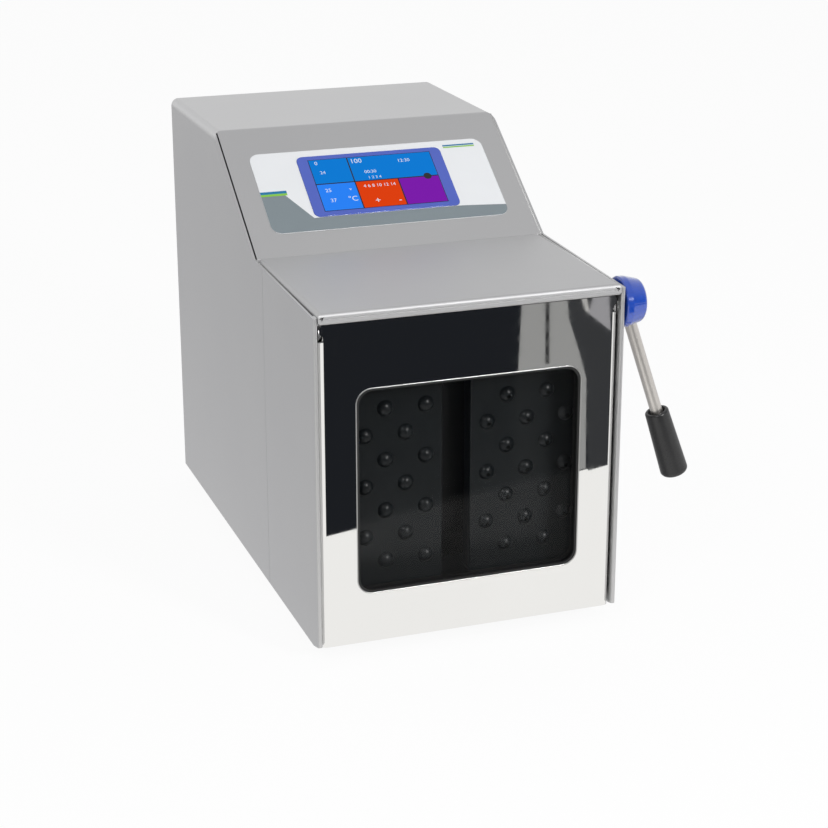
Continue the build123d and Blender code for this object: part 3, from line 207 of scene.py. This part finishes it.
# ---------------------------------------------------------------- housing
# Folded stainless sheet, brushed once and passivated, with soft bends and clean cut edges.  The
# electronics inside stand on a zinc plated base and tray.
def finish(name, tones, drift_mm, grain_mm, rough, relief_mm=0.0, stretch=(1, 1, 1), **values):
    """A new material: a colour that drifts between two close tones, and a finer grain that moves the
    roughness and the relief.  Both are noise on the object's own coordinates, scaled by 1000 / length
    in mm; the grain's scale is multiplied by stretch too."""
    detail, grain_low, grain_high = 2.0, 0.3, 0.7
    material = bpy.data.materials.new(name)
    material.use_nodes = True
    made = material.node_tree
    shader = made.nodes["Principled BSDF"]
    coordinates = add(made, "ShaderNodeTexCoord")
    drift = add(made, "ShaderNodeTexNoise", {"Vector": coordinates.outputs["Object"],
                                             "Scale": 1000 / drift_mm, "Detail": detail})
    scale = [1000 / grain_mm * k for k in stretch]
    laid = add(made, "ShaderNodeMapping", {"Vector": coordinates.outputs["Object"], "Scale": scale})
    grain = add(made, "ShaderNodeTexNoise", {"Vector": laid.outputs[0], "Scale": 1.0, "Detail": detail})
    tint = add(made, "ShaderNodeMix", {0: drift.outputs["Fac"], colour_a: linear(tones[0]),
                                       colour_b: linear(tones[1])}, data_type="RGBA")
    made.links.new(tint.outputs[colour_out], shader.inputs["Base Color"])
    dulled = add(made, "ShaderNodeMapRange", {"Value": grain.outputs["Fac"], "From Min": grain_low,
                                              "From Max": grain_high, "To Min": rough[0],
                                              "To Max": rough[1]})
    made.links.new(dulled.outputs[0], shader.inputs["Roughness"])
    if relief_mm:
        bump = add(made, "ShaderNodeBump", {"Height": grain.outputs["Fac"], "Strength": 1.0,
                                            "Distance": relief_mm * mm})
        made.links.new(bump.outputs[0], shader.inputs["Normal"])
    for socket, value in values.items():
        shader.inputs[socket.replace("_", " ")].default_value = value
    return material


def dress(material, *names):
    """The CAD nodes of those names take the material."""
    for name in names:
        nodes[name].data.materials.clear()
        nodes[name].data.materials.append(material)


def piece(name, points, faces, material, body, smooth=True):
    """A mesh of those points and faces as a new object that rides on a body."""
    mesh = bpy.data.meshes.new(name)
    mesh.from_pydata([tuple(p) for p in points], [], [tuple(int(k) for k in f) for f in faces])
    mesh.materials.append(material)
    if smooth:
        mesh.shade_smooth()
    thing = bpy.data.objects.new(name, mesh)
    bpy.context.scene.collection.objects.link(thing)
    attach(thing, body)


def middle(name):
    """The middle of a node's box."""
    low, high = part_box(name)
    return (low + high) / 2


def printed(name, outlines, place, material, body):
    """Flat shapes printed on a face: outlines of (x, y) in mm, in the frame of place."""
    points, faces = [], []
    for outline in outlines:
        faces.append(range(len(points), len(points) + len(outline)))
        points += [place @ Vector((x * mm, y * mm, 0)) for x, y in outline]
    piece(name, points, faces, material, body, smooth=False)


# Satin stainless: the brushed lines run along X and spread each reflection softly.  They are drawn
# 0.8 mm wide, coarser than the real ones, which would be too fine to show.
satin = finish("satin_stainless", ("#CECECF", "#D3D3D3"), 120, 0.8, (0.46, 0.49), 0.0015, (0.03, 1, 1),
               Metallic=1.0)
dress(satin, "housing_shell", "side_panel_left", "side_panel_right", "back_panel")
# The hood plate's finish is the same, only a little duller.
hood_satin = finish("satin_stainless_hood", ("#C9C9CA", "#CECECE"), 120, 0.8, (0.58, 0.62), 0.0015,
                    (0.03, 1, 1), Metallic=1.0)
dress(hood_satin, "hood_plate")
# Zinc plate: a cool grey with soft spangles of about 14 mm.
zinc = finish("zinc_plated_sheet", ("#9FA2A5", "#B4B6B8"), 14, 2.5, (0.4, 0.55), 0.004, Metallic=1.0)
dress(zinc, "base_plate", "electronics_tray", "motor_bracket", "power_supply")

# Pan-head screws of the back panel, with a cross recess each, shown just proud of the head and turned
# on from screw to screw.  Four screws stand up each side and two along the top.
head_r, from_top, proud, arm, blade, turned_on = 3.4, 7.5, 0.03, 1.5, 0.4, 0.7
shell_low, shell_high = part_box("housing_shell")
shell_middle = middle("housing_shell").x
screws_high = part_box("back_screws")[1]
back_y = screws_high.y + proud * mm
side_x = screws_high.x - head_r * mm - shell_middle
side_z = [shell_low.z + (shell_high.z - shell_low.z) * share for share in (0.15, 0.4, 0.65, 0.9)]
screws = [(side * side_x, z) for side in (-1, 1) for z in side_z]
screws += [(side * (shell_high.x - shell_low.x) / 6, shell_high.z - from_top * mm) for side in (-1, 1)]
# The recess lies in its own shadow, so it shows nearly black.
recess = finish("recess_shadow", ("#17181A", "#202123"), 5, 0.5, (0.6, 0.7))
cross = [(blade, blade), (blade, arm), (-blade, arm), (-blade, blade), (-arm, blade), (-arm, -blade),
         (-blade, -blade), (-blade, -arm), (blade, -arm), (blade, -blade), (arm, -blade), (arm, blade)]
for k, (x, z) in enumerate(screws):
    place = Matrix.Translation((shell_middle + x, back_y, z))
    place = place @ Matrix.Rotation(-math.pi / 2, 4, "X") @ Matrix.Rotation(turned_on * k, 4, "Z")
    printed(f"screw_recess_{k}", [cross], place, recess, "housing")


def grid_faces(rows, columns, closed_rows, closed_columns):
    """Quads of a grid of points stored row by row, either way closed on itself or left open."""
    r = np.arange(rows if closed_rows else rows - 1)[:, None]
    c = np.arange(columns if closed_columns else columns - 1)[None, :]
    r1, c1 = (r + 1) % rows, (c + 1) % columns
    corners = np.stack(np.broadcast_arrays(r * columns + c, r1 * columns + c, r1 * columns + c1,
                                           r * columns + c1), -1)
    return corners.reshape(-1, 4)


def filling_bead(name, start, end, half_across, half_deep, material):
    """A straight bead between two points, in mm from the housing's corner.  Its section is an ellipse:
    point = path + half_across * cos(t) * X + half_deep * sin(t) * (X cross path's direction)."""
    steps = 12
    path = np.array([start, end])
    along = (path[1] - path[0]) / np.linalg.norm(path[1] - path[0])
    across = np.array([1, 0, 0])
    turn = np.linspace(0, 2 * np.pi, steps, endpoint=False)[:, None]
    ring = half_across * np.cos(turn) * across + half_deep * np.sin(turn) * np.cross(across, along)
    points = (path[:, None, :] + ring[None]).reshape(-1, 3) * mm + np.array(front_left)
    faces = grid_faces(2, steps, False, True).tolist()
    faces += [list(range(steps)), list(range(2 * steps - 1, steps - 1, -1))]
    piece(name, points, faces, material, "housing")


# A grey bead fills the slits beside the hood and the slope at the right, so that they show no shade;
# the left ones are open.  Its even grey with a soft sheen is painted light over the slits' shade.
slit_fill = finish("slit_fill_grey", ("#C4C4C3", "#CACAC9"), 10, 0.5, (0.45, 0.55))
sheet = 1.5
inner_x = (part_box("side_panel_right")[1].x - front_left.x) / mm - sheet
hood_x, slope_x = inner_x - 1.4, inner_x - 0.6
hood_z = (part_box("hood_plate")[1].z - front_left.z) / mm
top_z = (shell_high.z - front_left.z) / mm
filling_bead("hood_bead", (hood_x, 5.0, hood_z - 3.4), (hood_x, 148.0, hood_z - 1.1), 1.7, 0.7, slit_fill)
filling_bead("slope_bead", (slope_x, 149.6, hood_z - 0.3), (slope_x, 257.2, top_z - 1.6), 0.8, 0.7,
             slit_fill)


# ---------------------------------------------------------------- door
# Stainless sheet polished to a mirror and folded back at the sides.  The window's cut edge is rolled
# to a fine bead that catches the light.
def rounded_loop(width, height, radius, steps=8):
    """A rounded rectangle about (0, 0) and its outward normals: each corner is centre + r (cos a, sin a)."""
    a = (np.arange(4)[:, None] + np.linspace(0, 1, steps + 1)[None, :]) * np.pi / 2
    normal = np.stack([np.cos(a), np.sin(a)], -1)
    corner_signs = np.array([(1, 1), (-1, 1), (-1, -1), (1, -1)])[:, None, :]
    centre = corner_signs * np.array([width / 2 - radius, height / 2 - radius])
    return (centre + radius * normal).reshape(-1, 2), normal.reshape(-1, 2)


def window_ring(name, grow, profile, y, material, smooth=True):
    """A closed profile of (out, deep) in mm, carried round the window's outline, which is first grown
    on all sides: point = outline + out * normal, and deep behind y."""
    corner_steps = 12
    loop, normal = rounded_loop(window_w + 2 * grow, window_h + 2 * grow, window_r + grow, corner_steps)
    flat = loop[:, None, :] + normal[:, None, :] * profile[None, :, :1]
    deep = np.broadcast_to(y + profile[:, 1] * mm, flat.shape[:2])
    points = np.stack([middle("window_pane").x + flat[..., 0] * mm, deep,
                       sill_z + (flat[..., 1] + window_h / 2) * mm], -1)
    faces = grid_faces(len(loop), len(profile), True, True)
    piece(name, points.reshape(-1, 3), faces, material, "door", smooth)


# A mirror polish: sharp reflections, with a slight haze that comes and goes across the sheet.
mirror = finish("mirror_polished_stainless", ("#F3F3F2", "#F6F6F5"), 60, 6.0, (0.015, 0.035), Metallic=1.0)
dress(mirror, "door_panel")
# The rolled edge is less bright than the sheet, and its highlight is broader.
bead = finish("polished_bead", ("#B9B9B8", "#C2C2C1"), 20, 2.0, (0.28, 0.34), Metallic=1.0)
window_w, window_h, window_r = 168.0, 153.0, 11.0
bead_r, bead_out, bead_deep, bead_steps, pane_overlap = 0.5, 0.15, 0.2, 10, 7.0
sill_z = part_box("window_pane")[0].z + pane_overlap * mm
turn = np.linspace(0, 2 * np.pi, bead_steps, endpoint=False)
round_wire = np.stack([bead_out + bead_r * np.cos(turn), bead_deep - bead_r * np.sin(turn)], -1)
window_ring("window_bead", 0.0, round_wire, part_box("door_panel")[0].y, bead)

# ---------------------------------------------------------------- window
# A clear acrylic pane in a black rubber gasket, held from inside by a black frame and dome nuts.  A
# soft black lip stands up behind the frame, all round, and hides the gap to the bag.
# Moulded rubber: a dull, deep black.
rubber = finish("black_rubber", ("#141414", "#1B1B1B"), 12, 0.6, (0.55, 0.7), 0.01)
dress(rubber, "window_gasket", "bag_clamp", "feet", "drive_belt")
lip_out, lip_thick, lip_start, lip_end = 0.3, 1.5, 0.1, 6.1
lip_profile = np.array([(0, lip_start), (0, lip_end), (lip_thick, lip_end), (lip_thick, lip_start)])
window_ring("window_lip", lip_out, lip_profile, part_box("window_pane")[1].y, rubber, smooth=False)
# Acrylic: a sharp, faint reflection, and a light tint over what lies behind it.
pane = finish("clear_acrylic", ("#0B0C0D", "#0E0F10"), 90, 30.0, (0.0, 0.01), IOR=1.49, Alpha=0.16)
dress(pane, "window_pane")
# Sprayed satin paint: a broad sheen, broken by a fine orange peel.
satin_black = finish("satin_black_paint", ("#151617", "#1C1D1E"), 30, 0.5, (0.4, 0.5), 0.006)
dress(satin_black, "window_frame", "chamber_liner", "bulkhead")
# Black anodised aluminium, dull and smooth; its tone is also set darker than the paint beside it
# as painted shade, so that the gap between the paddles shows dark.
guard_and_gap_shade = finish("black_guard_and_gap_shade", ("#121314", "#171819"), 30, 0.8, (0.42, 0.5),
                  Specular_IOR_Level=0.4)
dress(guard_and_gap_shade, "centre_guard")

# ---------------------------------------------------------------- hinge and lever
# The lever's hub is turned and lacquered blue, its rod is drawn steel and its grip is moulded and
# screwed on.  The shaft runs in a sintered boss and bush.
# Lacquer: a saturated blue under a clear coat that mirrors sharply.
lacquer = finish("blue_lacquer", ("#1541A6", "#1A47AE"), 18, 0.7, (0.1, 0.13), Coat_Weight=1.0,
                 Coat_Roughness=0.03, Specular_IOR_Level=0.7)
dress(lacquer, "lever_hub")
# Ground steel: bright, with reflections that are almost sharp.
ground = finish("ground_steel", ("#C9C9C9", "#D6D6D6"), 8, 0.25, (0.08, 0.16), Metallic=1.0)
dress(ground, "hinge_shaft", "shaft_collars", "push_rod_left", "push_rod_right", "crank_shaft",
      "motor_shaft", "window_screws", "back_screws")
# Drawn bright steel: slightly warm, with a broad highlight down the rod.
drawn = finish("drawn_bright_steel", ("#E2DED9", "#E8E4DF"), 8, 0.25, (0.36, 0.42), Metallic=1.0)
dress(drawn, "lever_rod")
# Sintered steel: a dull grey with fine pores.
sintered = finish("sintered_steel", ("#9B9A98", "#A9A8A6"), 5, 0.3, (0.4, 0.5), 0.004, Metallic=1.0)
dress(sintered, "hinge_boss", "hinge_bush")
# Phenolic resin: black, with a soft highlight.
phenolic = finish("black_phenolic", ("#222223", "#29292A"), 15, 0.4, (0.26, 0.32))
dress(phenolic, "lever_grip")
# Bearing bronze: a warm, half dull metal.
bronze = finish("bearing_bronze", ("#A9834F", "#B88F58"), 6, 0.4, (0.3, 0.4), 0.003, Metallic=1.0)
dress(bronze, "rod_bushes")

# ---------------------------------------------------------------- paddles and drive
# The paddles are moulded in black nylon, with domes that knead the bag.  Aluminium links and pulleys
# and an enamelled motor drive them from behind the bulkhead.
# Moulded nylon: a satin black, faintly blue.
black_nylon = finish("black_nylon", ("#14191B", "#1A1F22"), 25, 0.6, (0.32, 0.38), Specular_IOR_Level=0.45)
dress(black_nylon, "paddle_left", "paddle_right")

# A small, nearly black disc a little below the top of each dome of the right paddle, whose rows
# hold two and three domes by turns.  A disc lies on a ball just larger than the dome's:
# deep = sqrt(ball^2 - u^2 - v^2).
dome_r, proud, mark_r, hole_r, below = 6.8, 0.06, 1.5, 0.05, 1.1
pitch_x, pitch_z, row_count, rings, steps = 30.5, 19.3, 7, 4, 16
rows, columns = np.meshgrid(np.arange(row_count), np.arange(3), indexing="ij")
of_three = rows % 2 == 1
kept = of_three | (columns < 2)
across = (columns - np.where(of_three, 1.0, 0.5)) * pitch_x
spots = np.stack([across[kept], (row_count // 2 - rows[kept]) * pitch_z], -1)
radius = np.linspace(hole_r, mark_r, rings)[:, None]
turn = np.linspace(0, 2 * np.pi, steps, endpoint=False)[None, :]
u, v = radius * np.cos(turn), radius * np.sin(turn) - below
deep = np.sqrt((dome_r + proud) ** 2 - u ** 2 - v ** 2)
paddle_middle = middle("paddle_right")
ball_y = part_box("paddle_right")[0].y + dome_r * mm
discs = np.stack([paddle_middle.x + (spots[:, 0, None, None] + u) * mm,
                  np.broadcast_to(ball_y - deep * mm, (len(spots), *deep.shape)),
                  paddle_middle.z + (spots[:, 1, None, None] + v) * mm], -1).reshape(-1, 3)
quads = grid_faces(rings, steps, False, True)[None] + rings * steps * np.arange(len(spots))[:, None, None]
# Each disc is rough and nearly black.
dark_spot = finish("dark_dome_spot", ("#030303", "#060606"), 5, 0.3, (0.5, 0.6), Specular_IOR_Level=0.1)
piece("dome_dark_spots", discs, quads.reshape(-1, 4), dark_spot, "paddle_right")

# Machined aluminium: pale, with fine tool lines along Y.
aluminium = finish("machined_aluminium", ("#BFC1C3", "#CACCCE"), 10, 0.3, (0.3, 0.4), 0.003, (1, 0.1, 1),
                   Metallic=1.0)
dress(aluminium, "connecting_rod_left", "connecting_rod_right", "crank_pulley", "motor_pulley",
      "crank_pedestals")
# Baked enamel: a dark grey with a slight texture.
motor_paint = finish("motor_paint", ("#34363A", "#3D3F43"), 20, 0.8, (0.4, 0.5), 0.01)
dress(motor_paint, "motor")

# ---------------------------------------------------------------- control slope
# Printed polyester film round a glass touch panel, both glued level with the slope of the shell.
# Each layer of print lies 0.05 mm over the one below.
slope_rise, slope_run = 73.8, 109.6
slope_tilt = math.atan2(slope_rise, slope_run)
over_film, over_glass, layer = 0.25, 0.65, 0.05
# Polyester film: smooth, almost white and faintly cool.
film = finish("printed_polyester_film", ("#EAECEE", "#EDEFF1"), 40, 0.25, (0.32, 0.4), 0.002)
dress(film, "fascia_overlay")
# Tinted glass: smooth enough to mirror, with a blue print behind it.
bezel = finish("tinted_touch_glass", ("#4258B8", "#4B62C4"), 35, 3.0, (0.06, 0.1), Coat_Weight=0.5)
dress(bezel, "touch_screen")


def on_slope(name, over):
    """The frame of a sheet on the slope: its middle, with X across, Y up the slope and Z outward."""
    place = Matrix.Translation(middle(name)) @ Matrix.Rotation(slope_tilt, 4, "X")
    return place @ Matrix.Translation((0, 0, over * mm))


def bar(x0, y0, x1, y1):
    """Corners of an upright rectangle, counted round."""
    return [(x0, y0), (x1, y0), (x1, y1), (x0, y1)]


# The film's print: a slate band along the foot with a straight step at the left, and fine lines in
# blue and green at the left edge and the upper right.  Inks are even and hardly drift.
slate = finish("slate_ink", ("#7D888D", "#828D92"), 40, 0.25, (0.34, 0.42))
blue_ink = finish("blue_ink", ("#0A73A3", "#0E79AB"), 40, 0.25, (0.34, 0.42))
green_ink = finish("green_ink", ("#86C540", "#8CCB46"), 40, 0.25, (0.34, 0.42))
film_w, film_l, film_r = 189.0, 81.5, 8.0
half_w = film_w / 2
foot = [tuple(p) for p in rounded_loop(film_w, film_l, film_r)[0] if p[1] < 0]
band = foot + [(half_w, -30.5), (59.5, -28.2), (-59.5, -28.2), (-76, -3), (-half_w, -3)]
film_face = on_slope("fascia_overlay", over_film)
lift = Matrix.Translation((0, 0, layer * mm))
printed("film_slate_band", [band], film_face, slate, "housing")
tab_x, line_x0, line_x1 = -74, 62, 88
printed("film_blue_line", [bar(-half_w, -1.2, tab_x, 1.4), bar(line_x0, 34.5, line_x1, 35.9)],
        film_face @ lift, blue_ink, "housing")
printed("film_green_line", [bar(-half_w, -3.4, tab_x, -1.2), bar(line_x0, 32.7, line_x1, 33.9)],
        film_face @ lift, green_ink, "housing")


def lit(name, colour, strength):
    """A lit display colour under clear glass: the glow carries the colour, the glass is dark."""
    material = finish(name, ("#020203", "#040405"), 20, 0.2, (0.05, 0.08), Specular_IOR_Level=0.06)
    shader = material.node_tree.nodes["Principled BSDF"]
    shader.inputs["Emission Color"].default_value = linear(colour)
    shader.inputs["Emission Strength"].default_value = strength
    return material


def tile(u0, v0, u1, v1):
    """Corners of a tile between two shares of the display's width and height, less the black lines."""
    return bar(tile_x0 + u0 * tile_w + gap / 2, tile_y0 + v0 * tile_l + gap / 2,
               tile_x0 + u1 * tile_w - gap / 2, tile_y0 + v1 * tile_l - gap / 2)


# The display: five lit tiles between black lines.  Glass that isn't lit is black and smooth.
screen_face = on_slope("touch_screen", over_glass)
tile_w, tile_l = 99.4, 53.4
tile_x0, tile_y0 = -50.0, -26.6
across_1, across_2, up, gap = 0.315, 0.665, 0.52, 1.0
black_glass = finish("black_display_glass", ("#101114", "#16171B"), 20, 3.0, (0.08, 0.12))
printed("display_backing", [bar(tile_x0, tile_y0, tile_x0 + tile_w, tile_y0 + tile_l)], screen_face,
        black_glass, "housing")
tiles = {
    "display_blue": ("#0078D2", [tile(0, up, across_1, 1), tile(across_1, up, 1, 1)]),
    "display_light_blue": ("#2680F4", [tile(0, 0, across_1, up)]),
    "display_orange": ("#DC3C00", [tile(across_1, 0, across_2, up)]),
    "display_purple": ("#7914A8", [tile(across_2, 0, 1, up)]),
}
for name, (colour, outlines) in tiles.items():
    printed(name, outlines, screen_face @ lift, lit(name, colour, 1.0), "housing")


def lettered(name, marks, place, material, body):
    """Figures and signs as one flat mesh: marks are (text, x, y, height) in mm, in the frame of place."""
    points, faces = [], []
    for text, x, y, height in marks:
        curve = bpy.data.curves.new(name, "FONT")
        curve.body = text
        curve.size = height * mm
        curve.align_x = "CENTER"
        curve.align_y = "CENTER"
        curve.resolution_u = 3
        maker = bpy.data.objects.new(name + "_maker", curve)
        mesh = bpy.data.meshes.new_from_object(maker)
        there = place @ Matrix.Translation((x * mm, y * mm, 0))
        faces += [[k + len(points) for k in face.vertices] for face in mesh.polygons]
        points += [there @ vertex.co for vertex in mesh.vertices]
        bpy.data.objects.remove(maker)
        bpy.data.meshes.remove(mesh)
        bpy.data.curves.remove(curve)
    piece(name, points, faces, material, body, smooth=False)


# Plain figures, signs and the unit for degrees, over the tiles, and a dot on the line between them.
figures = [("0", -44.2, 22.7, 5.0), ("24", -41.2, 12.7, 4.4), ("100", -12.2, 22.2, 6.4),
           ("12:30", 25.8, 19.3, 4.6), ("00:30", -3.7, 10.3, 4.4), ("1 2 3 4", -1.7, 4.3, 3.8),
           ("25", -41.7, -5.9, 5.0), ("37", -40.2, -16.3, 5.0), ("v", -24.2, -5.9, 4.6),
           ("°C", -24.6, -16.1, 7.0), ("4 6 8 10 12 14", -0.2, -4.3, 4.4), ("+", -5.7, -19.9, 8.0),
           ("-", 11.8, -20.7, 8.0)]
top_layer = screen_face @ lift @ lift
lettered("display_figures", figures, top_layer, lit("display_white", "#E4F0FF", 0.9), "housing")
dot_r, from_right = 3.2, 9.0
dot_x, dot_y = tile_x0 + tile_w - from_right, tile_y0 + up * tile_l
dot = [(x + dot_x, y + dot_y) for x, y in rounded_loop(2 * dot_r, 2 * dot_r, dot_r - 0.01)[0]]
printed("display_dot", [dot], top_layer, black_glass, "housing")

# ---------------------------------------------------------------- back and electronics
# The inlet, the switch and the fan are moulded in black plastic and sit in the back panel; the rocker
# has the usual plain signs for on and off, pad-printed in white.
# Moulded plastic with a fine spark texture, so that it shows no sharp reflection.
moulded = finish("black_moulded_plastic", ("#19191A", "#202021"), 12, 0.3, (0.45, 0.55), 0.008)
dress(moulded, "display_module", "fan_housing", "fan_rotor", "mains_inlet", "switch_bezel", "power_rocker")
white_ink = finish("white_ink", ("#E6E6E4", "#ECECEA"), 10, 0.3, (0.4, 0.5))
# Each sign: its text, its height over the rocker's middle, its lean in degrees and its place behind
# the rocker's rearmost point, in mm.
rocker, rocker_back = middle("power_rocker"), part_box("power_rocker")[1].y
sign_size = 5.0
rocker_signs = {"rocker_sign_on": ("I", -4.6, 0.0, 0.06), "rocker_sign_off": ("0", 4.6, -12.0, -0.9)}
for name, (text, z_mm, lean, y_mm) in rocker_signs.items():
    place = Matrix.Translation((rocker.x, rocker_back + y_mm * mm, rocker.z + z_mm * mm))
    upright = Matrix.Rotation(math.pi / 2 + math.radians(lean), 4, "X")
    place = place @ Matrix.Rotation(math.pi, 4, "Z") @ upright
    lettered(name, [(text, 0, 0, sign_size)], place, white_ink, "power_rocker")
# Solder mask over laminate: a dark green, half gloss.
board = finish("circuit_board", ("#1B6338", "#23703F"), 10, 0.6, (0.35, 0.5), 0.004)
dress(board, "control_board")
